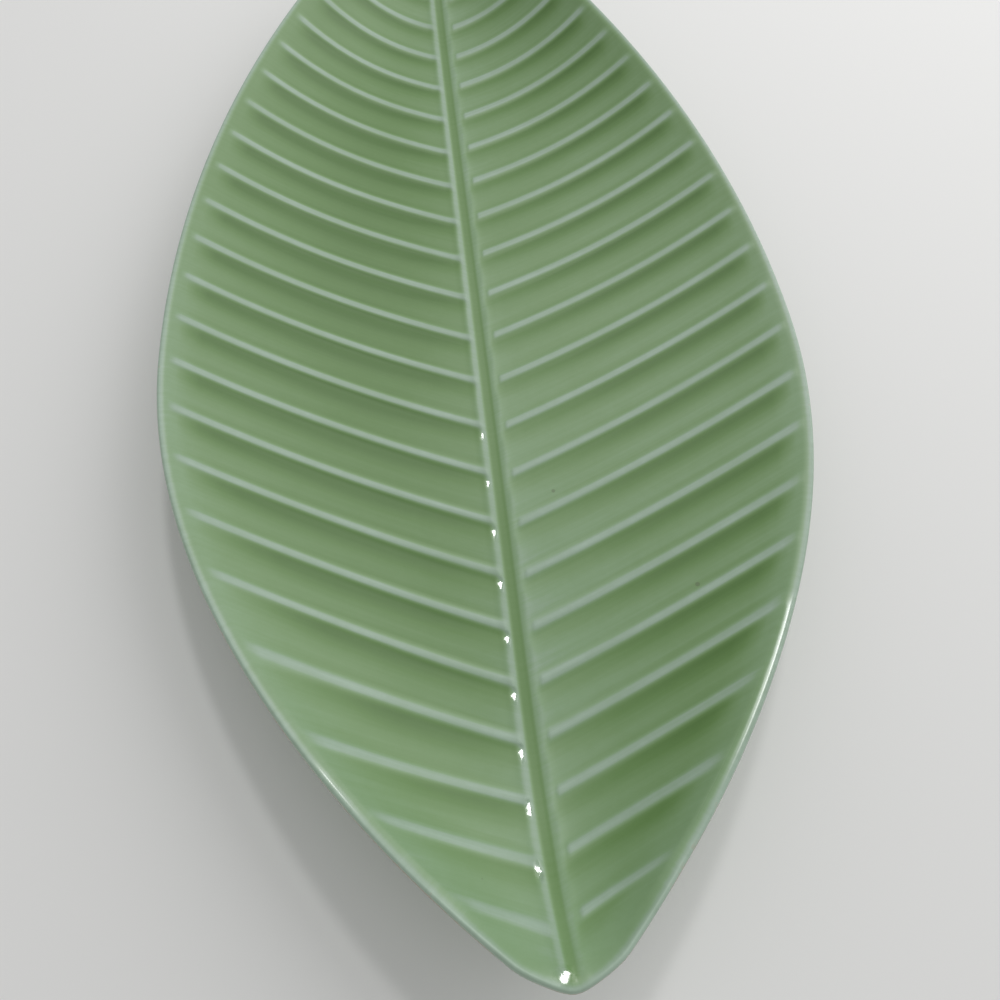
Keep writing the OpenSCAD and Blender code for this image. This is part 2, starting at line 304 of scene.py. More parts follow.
def vein_root(index, side):
    """Place of a vein's root along the midrib, for any index, also between two veins."""
    s = index / (VEIN_PAIRS - 1)
    share = ROOT_START * s + ROOT_SWELL * s**2 + (1 - ROOT_START - ROOT_SWELL) * s**3
    first, last = BASE_Y + FIRST_VEIN, APEX_Y - LAST_VEIN
    shift = SIDE_STEP * np.cos(2 * np.pi * (index - SIDE_WAVE_START) / SIDE_WAVE_PAIRS)
    return first + (last - first) * share + side * shift


def rise(value, span):
    """Goes from 0 to 1 while the value climbs from the span's start over its length."""
    start, length = span
    return smooth((value - start) / length)


def fall(value, span):
    """Goes from 0 to 1 while the value drops from the span's start by its length."""
    start, length = span
    return smooth((start - value) / length)


def climb_share(root, side):
    """How far a row climbs, as a share of the half width at its end: less towards the base."""
    if side < 0:
        return CLIMB_SHARE * (1 - LEFT_LESS * fall(root, LEFT_SPAN))
    return CLIMB_SHARE * (RIGHT_LESS - RIGHT_LATER * fall(root, RIGHT_SPAN))


def row_end(root, side):
    """Where on the lip a row ends: the search halves its error at each step."""
    end = root.copy()
    for _ in range(END_SEARCHES):
        width = half_at(end)
        end = (end + root + climb_share(root, side) * width**2 / (width + CLIMB_EASE)) / 2
    return end


def outward(y):
    """The outline's outward direction on the right side at a place along the leaf."""
    step = 0.02
    low = np.clip(y - step, BASE_Y, APEX_Y)
    high = np.clip(y + step, BASE_Y, APEX_Y)
    wider = half_at(high) - half_at(low)
    run = high - low
    size = np.hypot(wider, run)
    return run / size, -wider / size


# Distances from a vein's centre at which rows lie, and places of the rows between two veins
NEAR_ROWS = (-3.5, -2.95, -2.4, -1.75, -1.3, -1.0, -0.7, -0.35, 0.0, 0.35, 0.7, 1.0, 1.3, 1.75, 2.4)
PANEL_ROWS = (0.16, 0.33, 0.50, 0.66, 0.80, 0.91)
TIP_ROWS = 14
TIP_CROWD = 1.7
LIP_REACH = 3.0


def side_rows(side):
    """Roots and ends of all rows on one side, from the base tip to the apex."""
    roots = []
    for index in range(VEIN_PAIRS):
        centre = vein_root(index, side)
        roots += [centre + d for d in NEAR_ROWS]
        if index < VEIN_PAIRS - 1:
            low = centre + NEAR_ROWS[-1]
            high = vein_root(index + 1, side) + NEAR_ROWS[0]
            roots += [low + (high - low) * s for s in PANEL_ROWS]
    roots = np.array(roots)
    ends = row_end(roots, side)
    steps = np.arange(TIP_ROWS) / TIP_ROWS
    base_root = BASE_Y + LIP_REACH
    apex_root = APEX_Y - LIP_REACH
    low_roots = base_root + (roots[0] - base_root) * steps
    low_ends = BASE_Y + (ends[0] - BASE_Y) * steps**TIP_CROWD
    high_roots = apex_root + (roots[-1] - apex_root) * steps[::-1]
    high_ends = APEX_Y + (ends[-1] - APEX_Y) * steps[::-1] ** TIP_CROWD
    return (
        np.concatenate([low_roots, roots, high_roots]),
        np.concatenate([low_ends, ends, high_ends]),
    )


rows = {side: side_rows(side) for side in (-1, 1)}
ROW_COUNT = len(rows[1][0])
print(ROW_COUNT, "rows a side for", VEIN_PAIRS, "pairs of veins")

# %% [markdown]
# The relief is pressed from these few sections. The midrib is a groove between two ridges. A vein is
# a low rounded bar with a hollow on each side of it, deeper on the side of the leaf's base, and the
# panel between two veins swells a little. Every row of the sheet takes its share of these from how
# far its root lies from the nearest vein's.

# %% Sections of the midrib and the veins
MIDRIB_X = (0.0, 0.7, 1.1, 1.5, 1.9, 2.3, 2.7, 3.1, 3.5, 3.9, 4.4, 5.2)
MIDRIB_Z = (-0.20, -0.18, -0.11, 0.0, 0.12, 0.20, 0.23, 0.22, 0.17, 0.11, 0.05, 0.0)
RIGHT_RIDGE = 0.8
VEIN_HALF = 1.18
VEIN_WIDER = 0.2
WIDEST_VEIN = 16
FIRST_THIN = 0.72
BAR_POWER = 2.6
BAR_SOFT = 0.8
# Distance from the vein's centre and width of the hollows, and of the pool with its long tail
BASE_HOLLOW = (2.6, 1.8)
APEX_HOLLOW = (2.0, 1.1)
APEX_HOLLOW_FROM = -1
POOL = (2.2, 1.2)
POOL_TAIL = 4.3
SWELL_POWER = 1.5
END_SWELL = 0.3


def hump(distance, half):
    """A rounded bar: 1 in the middle, with soft flanks at its half width."""
    return np.exp(-((np.abs(distance) / half) ** BAR_POWER) * BAR_SOFT)


def vein_half(index, side):
    """Half width of a vein's bar: it grows towards the middle, and the first one on the right is thin."""
    if side > 0 and index == 0:
        return VEIN_HALF * FIRST_THIN
    return VEIN_HALF * (1 + VEIN_WIDER * smooth(index / WIDEST_VEIN))


def vein_signals(roots, side):
    """For each row: the bar of the nearest vein, the hollows beside it, the pool and the swell."""
    centres = np.array([vein_root(i, side) for i in range(VEIN_PAIRS)])
    signals = {name: np.zeros_like(roots) for name in ("bar", "base_hollow", "apex_hollow", "pool")}
    for index, centre in enumerate(centres):
        d = roots - centre
        from_pool = d + POOL[0]
        pool = np.where(from_pool > 0, bell(from_pool, POOL[1]), bell(from_pool, POOL_TAIL))
        parts = {
            "bar": hump(d, vein_half(index, side)),
            "base_hollow": bell(d + BASE_HOLLOW[0], BASE_HOLLOW[1]) * (d < 0),
            "apex_hollow": bell(d - APEX_HOLLOW[0], APEX_HOLLOW[1]) * (d > APEX_HOLLOW_FROM),
            "pool": pool * (d < 0),
        }
        for name, part in parts.items():
            signals[name] = np.maximum(signals[name], part)
    place = np.searchsorted(centres, roots)
    inside = (place > 0) & (place < VEIN_PAIRS)
    low = centres[np.clip(place - 1, 0, VEIN_PAIRS - 1)]
    high = centres[np.clip(place, 0, VEIN_PAIRS - 1)]
    share = np.where(inside, (roots - low) / np.maximum(high - low, 1), 0.5)
    swell = np.sin(np.pi * np.clip(share, 0, 1)) ** SWELL_POWER
    signals["swell"] = np.where(inside, swell, END_SWELL)
    return {name: signal[:, None] for name, signal in signals.items()}


signals = {side: vein_signals(rows[side][0], side) for side in (-1, 1)}
print("a vein's bar is", round(2 * vein_half(WIDEST_VEIN, 1), 2), "mm wide")

# %% [markdown]
# The lip isn't a half round. The wall eases off in two stages, to a shelf about two millimetres wide
# that tilts a little outwards, and then turns over tightly and carries on under the edge. It is this
# shelf that holds the long bright line of the window. The columns of the sheet crowd at the midrib
# and at the lip, where the shape bends most.

# %% Columns and the lip
MIDRIB_COLUMNS = (0.35, 0.75, 1.0, 1.25, 1.5, 1.75, 2.05, 2.4, 2.7, 3.0, 3.35, 3.7, 4.1, 4.6, 5.3)
MIDRIB_MOST = 0.9
PANEL_COLUMNS = (0.05, 0.12, 0.20, 0.28, 0.36, 0.45, 0.54, 0.63, 0.72, 0.80, 0.86, 0.91, 0.95, 0.98, 1)
GLAZE_LEVEL = 0.3
EASE_FROM = 3.4
EASE_MID = 2.2
EASE_TO = 0.9
MID_SLOPE = 0.34
EDGE_SLOPE = 0.23
TIP_FADE = (0.86, 0.12)
LIP_INSETS = (2.6, 2.2, 1.85, 1.5)
LIP_ACROSS = 0.85
LIP_DOWN = 1.5
LIP_SHARES = (0, 0.08, 0.16, 0.24, 0.33, 0.42, 0.51, 0.60, 0.70, 0.80, 0.90, 1)
LIP_LAST_DEG = -66
COLUMN_COUNT = len(MIDRIB_COLUMNS) + len(PANEL_COLUMNS) + len(LIP_INSETS) + len(LIP_SHARES)
NOSE = COLUMN_COUNT - len(LIP_SHARES)
OUTLINE_STEPS = (900, 1100)
DISTANCE_BATCH = 4000

base_turns = np.linspace(np.pi / 2, 0, OUTLINE_STEPS[0])
apex_turns = np.linspace(0, np.pi / 2, OUTLINE_STEPS[1])
outline_y = np.concatenate([-BASE_LENGTH * np.sin(base_turns), APEX_LENGTH * np.sin(apex_turns)])
outline_y = WIDEST_Y + outline_y
outline = np.column_stack([half_at(outline_y), outline_y])


def edge_distance(x, y):
    """Distance of places on the right side from the outline."""
    flat = np.column_stack([x.ravel(), y.ravel()])
    nearest = np.empty(len(flat))
    for start in range(0, len(flat), DISTANCE_BATCH):
        part = flat[start : start + DISTANCE_BATCH]
        gap = (part[:, None, 0] - outline[None, :, 0]) ** 2
        gap = gap + (part[:, None, 1] - outline[None, :, 1]) ** 2
        nearest[start : start + DISTANCE_BATCH] = np.sqrt(gap.min(axis=1))
    return nearest.reshape(x.shape)


def wall_height(ends, inset):
    """Height of the bare dish at a distance inside the outline."""
    out_x, out_y = outward(ends)
    return dish_height(np.maximum(half_at(ends) - inset * out_x, 0), ends - inset * out_y)


def wall_slopes(ends):
    """The wall's slope just inside the lip, and how much of it the two stages take away."""
    slope = (wall_height(ends, EASE_TO) - wall_height(ends, EASE_FROM)) / (EASE_FROM - EASE_TO)
    blade = 1 - rise(np.abs(way_to_tip(ends)), TIP_FADE)
    steep = np.maximum(slope - MID_SLOPE, 0) * blade
    bend = (MID_SLOPE - EDGE_SLOPE) * blade
    return slope, steep, bend


def sheet_places(side):
    """Places in mm of one side before its relief, one line a row, their insets and the lip's turns."""
    roots, ends = rows[side]
    width = half_at(ends)
    out_x, out_y = outward(ends)
    slope, steep, bend = wall_slopes(ends)
    # The lip starts to turn at the slope that is left of the wall's own
    start = np.pi / 2 + np.arctan((slope - steep - bend) * LIP_ACROSS / LIP_DOWN)[:, None]
    turns = start + (math.radians(LIP_LAST_DEG) - start) * np.array(LIP_SHARES)
    inner_x = np.maximum(width - LIP_REACH * out_x, 0)
    inner_y = ends - LIP_REACH * out_y
    ease = np.clip(inner_x * MIDRIB_MOST / MIDRIB_COLUMNS[-1], 0, 1)
    x = np.zeros((ROW_COUNT, COLUMN_COUNT))
    y, inset = x.copy(), x.copy()
    rib_count = len(MIDRIB_COLUMNS)
    panel_end = rib_count + len(PANEL_COLUMNS)
    # The columns beside the midrib, over the panel, and then round the lip
    for c, place in enumerate(MIDRIB_COLUMNS):
        x[:, c] = place * ease
    start_x = x[:, rib_count - 1]
    for c, share in enumerate(PANEL_COLUMNS, rib_count):
        x[:, c] = start_x + (inner_x - start_x) * share
    share = x[:, :panel_end] / np.maximum(inner_x, 1e-6)[:, None]
    climb = (1 - VEIN_BOW) * share + VEIN_BOW * share**2
    y[:, :panel_end] = roots[:, None] + (inner_y - roots)[:, None] * climb
    inset[:, :panel_end] = edge_distance(x[:, :panel_end], y[:, :panel_end])
    for c, gap in enumerate(list(LIP_INSETS) + list((LIP_ACROSS * (1 - np.cos(turns))).T), panel_end):
        x[:, c] = np.maximum(width - gap * out_x, 0)
        y[:, c] = ends - gap * out_y
        inset[:, c] = gap
    # The heights: the dish, the wall's two stages of easing off, and the turn of the lip
    z = dish_height(x, y) + GLAZE_LEVEL
    first = EASE_FROM - EASE_MID
    last = EASE_MID - EASE_TO
    from_mid = np.clip(EASE_MID - inset, 0, last)
    z -= steep[:, None] * (np.clip(EASE_FROM - inset, 0, first) ** 2 / 2 / first + from_mid)
    z -= bend[:, None] * from_mid**2 / 2 / last
    z[:, NOSE:] = z[:, NOSE : NOSE + 1] + LIP_DOWN * (np.sin(turns) - np.sin(turns[:, :1]))
    return x, y, z, inset, np.degrees(turns)


print(COLUMN_COUNT, "columns a side,", len(outline), "points on the outline")

# %% [markdown]
# Now the relief is laid on. It is very low, about a quarter of a millimetre: under molten glaze the
# veins hardly stand up, and the eye reads them from their colour. Each part fades out before it
# meets the next one: a vein before the ridge and the lip, a panel over a wider strip at the lip, and
# the midrib's own section just inside the edge, where it also gets narrower towards the base tip.

# %% Relief
VEIN_HEIGHT = 0.28
HOLLOW = 0.10
APEX_HOLLOW_SHARE = 0.5
SWELL = 0.12
# Each span is a start and a length, in mm
PAST_RIDGE = (1.9, 1.6)
INSIDE_LIP = (2.0, 3.4)
RIB_END = (1.2, 1.6)
VEIN_START = {-1: (1.6, 1.4), 1: (3.4, 1.3)}
PANEL_INSET = 3.0
PANEL_FADE = {-1: 8.0, 1: 6.5}
PANEL_FADE_BASE = {-1: 11.0, 1: 0.0}
BASE_PART = (-40, 60)
RIB_NARROWER = 0.22
RIB_NARROW_SPAN = (BASE_Y + 30, 24)


def press_relief(side, x, y, z, inset):
    """Adds the relief to the heights, and returns the shares that the glaze's depth needs as well."""
    row = signals[side]
    past_ridge = rise(x, PAST_RIDGE)
    rib_end = rise(inset, RIB_END)
    rib_x = x / (1 - RIB_NARROWER * fall(y, RIB_NARROW_SPAN))
    veins = row["bar"] * rise(x, VEIN_START[side]) * rise(inset, INSIDE_LIP)
    fade = PANEL_FADE[side] + PANEL_FADE_BASE[side] * fall(y, BASE_PART)
    ground = past_ridge * smooth((inset - PANEL_INSET) / fade)
    hollows = row["base_hollow"] + APEX_HOLLOW_SHARE * row["apex_hollow"]
    rib = np.interp(rib_x, MIDRIB_X, MIDRIB_Z)
    ridge = rib * (RIGHT_RIDGE if side > 0 else 1)
    z[:, :NOSE] += (
        VEIN_HEIGHT * veins
        - HOLLOW * hollows * ground * (1 - veins)
        + SWELL * row["swell"] * ground
        + np.where(rib > 0, ridge, rib) * rib_end
    )[:, :NOSE]
    return {"past_ridge": past_ridge, "rib_end": rib_end, "rib_x": rib_x, "veins": veins, "ground": ground}


print("veins stand", VEIN_HEIGHT, "mm high, hollows", HOLLOW, "mm deep")

# %% [markdown]
# Where a vein runs into the left ridge, a drop of glaze gathers and sets as a small smooth pillow. In
# the photograph each one mirrors the window as a bright spot, up to the middle of the leaf, and the
# last and largest sits at the base tip. A pillow is an oval whose middle tilts halfway between the
# camera and the window, with a gentle crown, so its bright spot is as long and as wide as the crown
# is flat.

# %% Pillows of glaze
PILLOW_X = -2.65
PILLOW_RISE = 0.2
PILLOW_VEINS = range(1, 10)
PILLOW_BACK = 2.4
PILLOW_FIRST = 0.3
PILLOW_BACK_SPAN = (3.6, 2.4)
PILLOW_HALF = (1.05, 2.4)
PILLOW_ROUND = (15, 105)
PILLOW_LESS = 0.42
PILLOW_LESS_SPAN = (6, 3)
PILLOW_EDGE = 1.8
FIRST_ROUND = (12, 14)
TIP_PILLOW = (-1.7, 2.85)
TIP_PILLOW_HALF = (2.3, 2.0)
TIP_RISE = 0.05
TIP_ROUND_MM = (58, 58)


def add_pillow(side, x, y, z, centre, half, rounding, lift):
    """Levels a small oval of the sheet to a smooth pillow that mirrors the window to the camera."""
    across, along = side * x - centre[0], y - centre[1]
    level = float(dish_height(centre[0], centre[1])) + GLAZE_LEVEL + lift
    place = Vector((centre[0], centre[1], level)) * MM
    half_way = (camera.location - place).normalized() + (window.location - place).normalized()
    pillow = level - (half_way.x * across + half_way.y * along) / half_way.z
    pillow -= across**2 / 2 / rounding[0] + along**2 / 2 / rounding[1]
    weight = smooth(PILLOW_EDGE * (1 - (across / half[0]) ** 2 - (along / half[1]) ** 2))
    z += (pillow - z) * weight
    return weight


def add_pillows(side, x, y, z):
    """Adds all pillows of one side, and returns where they lie."""
    pillows = np.zeros_like(z)
    for index in PILLOW_VEINS if side < 0 else ():
        back = PILLOW_BACK + (PILLOW_FIRST - PILLOW_BACK) * fall(index, PILLOW_BACK_SPAN)
        centre = (PILLOW_X, vein_root(index, side) - back)
        less = 1 - PILLOW_LESS * rise(index, PILLOW_LESS_SPAN)
        half = (PILLOW_HALF[0], PILLOW_HALF[1] * less)
        rounding = [less * r for r in PILLOW_ROUND] if index > 1 else FIRST_ROUND
        pillows = np.maximum(pillows, add_pillow(side, x, y, z, centre, half, rounding, PILLOW_RISE))
    # The pillow at the tip crosses the midline, so both sides take their part of it
    centre = (TIP_PILLOW[0], BASE_Y + TIP_PILLOW[1])
    at_tip = add_pillow(side, x, y, z, centre, TIP_PILLOW_HALF, TIP_ROUND_MM, TIP_RISE)
    return np.maximum(pillows, at_tip)


print(len(PILLOW_VEINS), "pillows on the left ridge and one at the base tip")

# %% [markdown]
# The depth of the glaze is worked out next to the relief, from 0 for wiped bare to 1 for the deepest
# pool. It is what gives the leaf its drawing: thin over the veins and the ridges, deep in the groove
# and along the base side of each vein, and almost gone where it runs off the lip. On the right the
# pools are kept weaker near the midrib, which is painted light. Beside the midrib and along the lip
# the coat is thinner; on the left towards the base the lip strip is paler still, a painted sheen.
# Broad drifts over the panels are painted shade and sheen, darker or paler where the lamps leave
# the panels too bright or too dull. A table gives each drift as its amount, place and half width
# across, and along.

# %% Depth of the glaze
PANEL_DEPTH = 0.42
POOL_DEEP = 0.60
APEX_POOL_DEEP = 0.12
POOL_RIB_LESS = 0.45
# On the right the pools are real pooled glaze, kept weaker near the midrib as painted light
POOL_PAINTED_LIGHT_RIGHT = (0.6, 0.4)
POOL_PAINTED_LIGHT_RIGHT_SPAN = (12, 34)
RIB_STRIP = (3.5, 11.0)
RIB_STRIP_PALE = 0.12
SWELL_PALE = 0.04
LIP_STRIP = (2.0, 7.0)
# Paler strip along the lip: a thinner coat, and on the left towards the base mostly a painted sheen
LIP_THIN_AND_SHEEN = {-1: 0.12, 1: 0.03}
BASE_HALF = (60, 110)
# Painted shade and sheen: broad patches that darken or pale the panels where the lamps leave them too
# bright or too dull
SHADE_AND_SHEEN_DRIFTS = {
    -1: ((0.36, 32, 34, 22, 105),),
    1: ((0.12, 10, 22, 10, 80), (-0.06, 0, math.inf, -65, 60), (-0.09, 8, 24, -100, 34)),
}
BAND = {-1: (6.5, 4.5), 1: (7.0, 4.0)}
BAND_DEPTH = {-1: (0.46, 0.18), 1: (0.42, 0.10)}
VEIN_DEPTH = 0.095
VEIN_COVER = 0.95
VEIN_FULL = 1.15
RIDGE_DEPTH = 0.13
RIDGE_PALE = {-1: 0.9, 1: 0.6}
RIDGE_PLACE = (2.3, 1.15)
GROOVE_DEPTH = 0.62
GROOVE_LESS = 0.16
GROOVE_LESS_SPAN = (BASE_Y + 24, 18)
GROOVE_SIDE = (0.65, 1.0)
LIP_DEPTH = 0.09
LIP_THIN_SPAN = (2.4, 1.5)
EDGE_BARE = 0.13
EDGE_BARE_DEG = (24, 12)


def fade_from(value, span):
    """1 up to a start, and then fading away at the span's pace."""
    return np.exp(-np.maximum(value - span[0], 0) / span[1])


def glaze_depth(side, x, y, inset, turns, parts):
    """Depth of the glaze: panels and pools, then painted shade and sheen, veins, ridge, groove and lip laid
    over them.
    """
    row = signals[side]
    past_ridge, ground, rib_end = parts["past_ridge"], parts["ground"], parts["rib_end"]
    by_rib = fade_from(x, RIB_STRIP)
    base_half = fall(y, BASE_HALF)
    pools = POOL_DEEP * row["pool"] + APEX_POOL_DEEP * row["apex_hollow"]
    pools = pools * (1 - POOL_RIB_LESS * by_rib) * ground
    # Painted light: the right side's pools are weaker near the midrib
    if side > 0:
        pools *= POOL_PAINTED_LIGHT_RIGHT[0] + POOL_PAINTED_LIGHT_RIGHT[1] * rise(x, POOL_PAINTED_LIGHT_RIGHT_SPAN)
    depth = PANEL_DEPTH + pools - (RIB_STRIP_PALE * by_rib + SWELL_PALE * row["swell"]) * past_ridge
    # The lip strip: thinner glaze, with a painted sheen added on the left towards the base
    depth -= LIP_THIN_AND_SHEEN[side] * fade_from(inset, LIP_STRIP) * base_half * past_ridge
    # Painted shade and sheen laid over the panels
    for amount, place_x, half_x, place_y, half_y in SHADE_AND_SHEEN_DRIFTS[side]:
        depth += amount * bell(x - place_x, half_x) * bell(y - place_y, half_y) * past_ridge
    band_depth = BAND_DEPTH[side][0] - BAND_DEPTH[side][1] * base_half
    depth += (band_depth - depth) * fall(inset, BAND[side]) * past_ridge
    depth += (VEIN_DEPTH - depth) * VEIN_COVER * np.minimum(1, parts["veins"] * VEIN_FULL)
    ridge = hump(parts["rib_x"] - RIDGE_PLACE[0], RIDGE_PLACE[1])
    depth += (RIDGE_DEPTH - depth) * RIDGE_PALE[side] * ridge * rib_end
    groove_depth = GROOVE_DEPTH - GROOVE_LESS * fall(y, GROOVE_LESS_SPAN)
    depth += (groove_depth - depth) * (1 - rise(parts["rib_x"], GROOVE_SIDE)) * rib_end
    depth += (LIP_DEPTH - depth) * fall(inset, LIP_THIN_SPAN)
    depth[:, NOSE:] -= EDGE_BARE * bell(turns - EDGE_BARE_DEG[0], EDGE_BARE_DEG[1])
    return np.clip(depth, 0, 1)


print("depths: panels", PANEL_DEPTH, "veins", VEIN_DEPTH, "groove", GROOVE_DEPTH, "lip", LIP_DEPTH)

# %% [markdown]
# The photograph shows the glaze satin over the panels and veins and glossy only where it pooled and
# set smooth: on the pillows and along two stretches of the lip near the base. So the gloss is drawn
# on the sheet as well, and the material reads it.

# %% Gloss, and both sides put together
RIM = {-1: (2.5, 0.8), 1: (3.4, 1.0)}
RIM_GLOSS = 0.3
STRETCH_GLOSS = 0.52
STRETCH_FROM = {-1: (-134, 5), 1: (-108, 5)}
STRETCH_TO = {-1: (-149, 6), 1: (-158, 6)}


def glaze_gloss(side, y, inset, pillows):
    """Gloss of the glaze: full on the pillows, less on the lip, and more on one stretch of it."""
    stretch = fall(y, STRETCH_FROM[side]) * rise(y, STRETCH_TO[side])
    return np.maximum(pillows, fall(inset, RIM[side]) * (RIM_GLOSS + STRETCH_GLOSS * stretch))


def side_sheet(side):
    """Places in mm, glaze depths and gloss of one side, from beside the midrib to under the lip."""
    x, y, z, inset, turns = sheet_places(side)
    parts = press_relief(side, x, y, z, inset)
    pillows = add_pillows(side, x, y, z)
    depth = glaze_depth(side, x, y, inset, turns, parts)
    return side * x, y, z, depth, glaze_gloss(side, y, inset, pillows)


sides = {side: side_sheet(side) for side in (-1, 1)}
highest = max(sides[side][2].max() for side in sides)
print("highest point of the sheet:", round(float(highest), 2), "mm")

# %% [markdown]
# The face could be carved by bevelling the edges of a coarse net, but the veins fade, lean and meet
# the ridges at their own heights. So it is made as a potter makes it: a flat sheet, laid over the
# mould. The sheet is a grid primitive, and each of its points moves to its place on the leaf. At the
# tips the first and the last row fold shut, and merging the doubles closes them. A Solidify modifier
# then gives the glaze its thickness on the clay side.

# %% Face glaze
GLAZE_SKIN = 0.12
GLAZE_SMOOTH_DEG = 50


def only(thing):
    """Deselects everything and selects one object."""
    bpy.ops.object.select_all(action="DESELECT")
    thing.select_set(True)
    bpy.context.view_layer.objects.active = thing


def grid_sheet(name, places, layers):
    """A grid primitive whose points move to the given places in mm, [row, column, xyz]."""
    row_count, column_count = places.shape[:2]
    bpy.ops.object.select_all(action="DESELECT")
    bpy.ops.mesh.primitive_grid_add(
        x_subdivisions=column_count - 1, y_subdivisions=row_count - 1, size=1, calc_uvs=False)
    thing = bpy.context.active_object
    thing.name = name
    mesh = thing.data
    mesh.name = name
    flat = np.empty(len(mesh.vertices) * 3)
    mesh.vertices.foreach_get("co", flat)
    flat = flat.reshape(-1, 3)
    column = np.rint((flat[:, 0] + 0.5) * (column_count - 1)).astype(int)
    row = np.rint((flat[:, 1] + 0.5) * (row_count - 1)).astype(int)
    mesh.vertices.foreach_set("co", (places[row, column] * MM).ravel())
    for title, values in layers.items():
        layer = mesh.attributes.new(title, "FLOAT", "POINT")
        layer.data.foreach_set("value", values[row, column].astype(np.float32))
    mesh.update()
    return thing


def close_doubles(thing, gap_mm=0.0005):
    """Merges the points that fell together."""
    only(thing)
    bpy.ops.object.mode_set(mode="EDIT")
    bpy.ops.mesh.select_all(action="SELECT")
    bpy.ops.mesh.remove_doubles(threshold=gap_mm * MM)
    bpy.ops.object.mode_set(mode="OBJECT")


def open_edges(thing):
    """The number of edges that don't lie between two faces."""
    uses = {}
    for polygon in thing.data.polygons:
        for key in polygon.edge_keys:
            uses[key] = uses.get(key, 0) + 1
    return sum(1 for count in uses.values() if count != 2)


def thicken(thing, thickness_mm):
    """Gives an open sheet its thickness, behind the face that shows."""
    only(thing)
    solid = thing.modifiers.new("thickness", "SOLIDIFY")
    solid.thickness = thickness_mm * MM
    solid.offset = -1
    bpy.ops.object.modifier_apply(modifier=solid.name)


def soften(thing, angle_deg):
    """Shades smooth, apart from edges sharper than the angle."""
    only(thing)
    bpy.ops.object.shade_smooth_by_angle(angle=math.radians(angle_deg))


def both_sides(pick):
    """One value of both sides, from the left lip over the midrib to the right lip."""
    return np.concatenate([sides[-1][pick][:, ::-1], sides[1][pick]], axis=1)


face_places = np.stack([both_sides(i) for i in range(3)], axis=-1)
row_roots = np.concatenate([np.repeat(rows[side][0][:, None], COLUMN_COUNT, 1) for side in (-1, 1)], axis=1)
face = grid_sheet(
    "glazed_face",
    face_places,
    {
        "glaze_depth": both_sides(3),
        "glaze_gloss": both_sides(4),
        "vein_place": row_roots,
        "across_place": face_places[:, :, 0],
    },
)
close_doubles(face)
print("face:", len(face.data.vertices), "points,", len(face.data.polygons), "faces")

# %% [markdown]
# The underside is drawn in from the same edge, ring by ring, down to the foot, and a second sheet
# lies inside the foot ring. The rings are smaller leaves, so the sheet is again a grid, with one
# column for each row end of the face.

# %% Back glaze
FOOT_HALF = 44.0
FOOT_BASE = 84.0
FOOT_APEX = 112.0
FOOT_WIDE = 3.6
BACK_GLAZE = 0.3
RING_SHARES = (
    0, 0.03, 0.07, 0.12, 0.18, 0.25, 0.33, 0.42, 0.51, 0.60, 0.69, 0.78, 0.86, 0.92, 0.96, 0.985, 1)
MIDDLE_SHARES = (0, 0.02, 0.06, 0.14, 0.28, 0.45, 0.62, 0.78, 0.9, 1)
SETTLE_SHARE = 0.12
# Depth of the glaze: on the wall, thin from the lip down, and deep where it gathers at the foot
BACK_DEPTH = 0.45
LIP_DEPTHS = (0.15, 0.25, 0.35)
FOOT_DEPTHS = (0.55, 0.7, 0.8)
INNER_DEPTHS = (0.85, 0.7)
BACK_GLOSS = 0.5


def leaf_ring(half, base, apex, ways, side_of):
    """Places on a smaller leaf, at the given ways to the tips."""
    x = side_of * half * width_share(np.abs(ways))
    y = WIDEST_Y + ways * np.where(ways < 0, base, apex)
    return x, y


def under_height(x, y):
    """Height of the clay's underside less the back glaze."""
    wall = WALL + (LIP_THICK - WALL) * across_share(x, y) ** DISH_POWER
    return dish_height(x, y) - wall - BACK_GLAZE


loop_places = np.concatenate([face_places[:, 0], face_places[::-1, -1]])
loop_ends = np.concatenate([rows[-1][1], rows[1][1][::-1]])
loop_ways = np.clip(way_to_tip(loop_ends), -1, 1)
loop_side = np.concatenate([-np.ones(ROW_COUNT), np.ones(ROW_COUNT)])
foot_x, foot_y = leaf_ring(FOOT_HALF, FOOT_BASE, FOOT_APEX, loop_ways, loop_side)


def back_sheet(name, places, depth):
    """A sheet of the back glaze, from its rows of places and their depths."""
    return grid_sheet(
        name,
        places,
        {
            "glaze_depth": depth,
            "glaze_gloss": np.full(depth.shape, BACK_GLOSS),
            "vein_place": places[:, :, 1],
            "across_place": places[:, :, 0],
        },
    )


back_rows = []
for share in RING_SHARES:
    x = loop_places[:, 0] + (foot_x - loop_places[:, 0]) * share
    y = loop_places[:, 1] + (foot_y - loop_places[:, 1]) * share
    settle = smooth(share / SETTLE_SHARE)
    z = loop_places[:, 2] + (under_height(x, y) - loop_places[:, 2]) * settle
    back_rows.append(np.column_stack([x, y, z]))
back_places = np.array(back_rows)
back_depth = np.full(back_places.shape[:2], BACK_DEPTH)
back_depth[: len(LIP_DEPTHS)] = np.array(LIP_DEPTHS)[:, None]
back_depth[-len(FOOT_DEPTHS) :] = np.array(FOOT_DEPTHS)[:, None]
back = back_sheet("glazed_back", back_places, back_depth)

